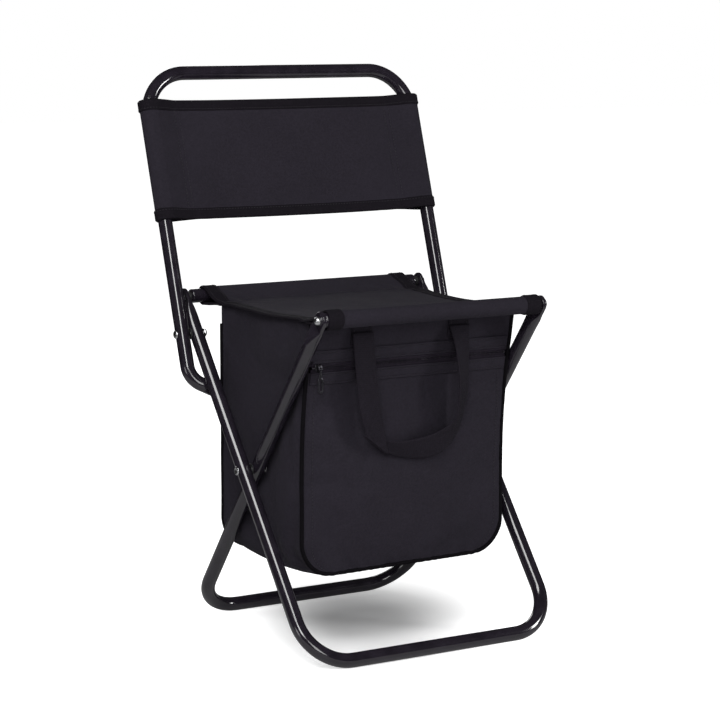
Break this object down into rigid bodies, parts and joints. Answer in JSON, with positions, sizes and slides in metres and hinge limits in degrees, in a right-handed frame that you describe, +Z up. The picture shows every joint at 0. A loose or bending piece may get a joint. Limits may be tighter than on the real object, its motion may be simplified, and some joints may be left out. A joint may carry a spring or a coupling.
{
  "type": "folding cooler stool",
  "caption": "Folding camping stool with a hinged backrest, crossed steel tube legs, a fabric sling seat and a zipped insulated bag hung under the seat.",
  "frame": {"origin": "on the floor, under the middle of the chair's overall box", "axes": "+Z up, +Y to the rear, where the backrest stands, +X to the sitter's left, seen from the front to the right"},
  "size_m": [0.3754, 0.3556, 0.632],
  "materials": {
    "painted_tube": "gloss black powder coat",
    "bright_steel": "bright zinc plate",
    "black_plastic": "moulded nylon",
    "polyester": "plain weave coated polyester",
    "binding_tape": "woven binding tape",
    "webbing": "flat polypropylene webbing",
    "foil_liner": "aluminised film on foam",
    "zipper_metal": "black lacquered zinc"
  },
  "bodies": {
    "outer_frame": {"outer_leg_frame": "painted_tube", "rear_seat_bar": "painted_tube", "rear_bar_rivet_left": "bright_steel", "rear_bar_rivet_right": "bright_steel", "rear_bar_bush_left": "black_plastic", "rear_bar_bush_right": "black_plastic", "pivot_rivet_left": "bright_steel", "pivot_rivet_right": "bright_steel", "pivot_washer_left": "black_plastic", "pivot_washer_right": "black_plastic", "backrest_bolt_left": "bright_steel", "backrest_bolt_right": "bright_steel", "backrest_nut_left": "bright_steel", "backrest_nut_right": "bright_steel", "backrest_spacer_left": "black_plastic", "backrest_spacer_right": "black_plastic", "seat_panel": "polyester", "seat_hem_left": "polyester", "seat_hem_right": "polyester", "bag_front_panel": "polyester", "bag_flap": "polyester", "bag_back_panel": "polyester", "bag_gusset": "polyester", "bag_liner": "foil_liner", "bag_front_piping": "binding_tape", "bag_back_piping": "binding_tape", "zipper_upper_tape": "binding_tape", "zipper_lower_tape": "binding_tape", "zipper_teeth": "black_plastic", "zipper_stop_left": "zipper_metal", "zipper_stop_right": "zipper_metal", "handle_end_left": "webbing", "handle_end_right": "webbing"},
    "inner_frame": {"inner_leg_frame": "painted_tube", "front_seat_bar": "painted_tube", "front_bar_rivet_left": "bright_steel", "front_bar_rivet_right": "bright_steel"},
    "backrest": {"backrest_frame": "painted_tube", "backrest_plug_left": "black_plastic", "backrest_plug_right": "black_plastic", "backrest_panel": "polyester", "backrest_bottom_binding": "binding_tape", "backrest_top_binding": "binding_tape"},
    "slider": {"zipper_slider": "zipper_metal"},
    "pull_tab": {"zipper_pull": "zipper_metal"},
    "handle": {"handle_strap": "webbing"}
  },
  "joints": [
    {"name": "frame_fold", "type": "hinge", "parent": "outer_frame", "child": "inner_frame", "pos_m": [0, -0.0265, 0.19643], "axis": [-1, 0, 0], "range_deg": [0, 69], "deforming": ["seat_panel", "seat_hem_left", "seat_hem_right", "bag_front_panel", "bag_flap", "bag_back_panel", "bag_gusset", "bag_liner", "bag_front_piping", "bag_back_piping"]},
    {"name": "backrest_fold", "type": "hinge", "parent": "outer_frame", "child": "backrest", "pos_m": [0, 0.07969, 0.33598], "axis": [1, 0, 0], "range_deg": [0, 86]},
    {"name": "slider_travel", "type": "slide", "parent": "outer_frame", "child": "slider", "axis": [-1, 0, 0], "range_m": [-0.235, 0]},
    {"name": "pull_tab_swing", "type": "hinge", "parent": "slider", "child": "pull_tab", "pos_m": [-0.1176, -0.12168, 0.31644], "axis": [1, 0, 0], "range_deg": [-150, 0]},
    {"name": "handle_swing", "type": "hinge", "parent": "outer_frame", "child": "handle", "pos_m": [0, -0.12666, 0.35275], "axis": [1, 0, 0], "range_deg": [-85, 0]}
  ]
}
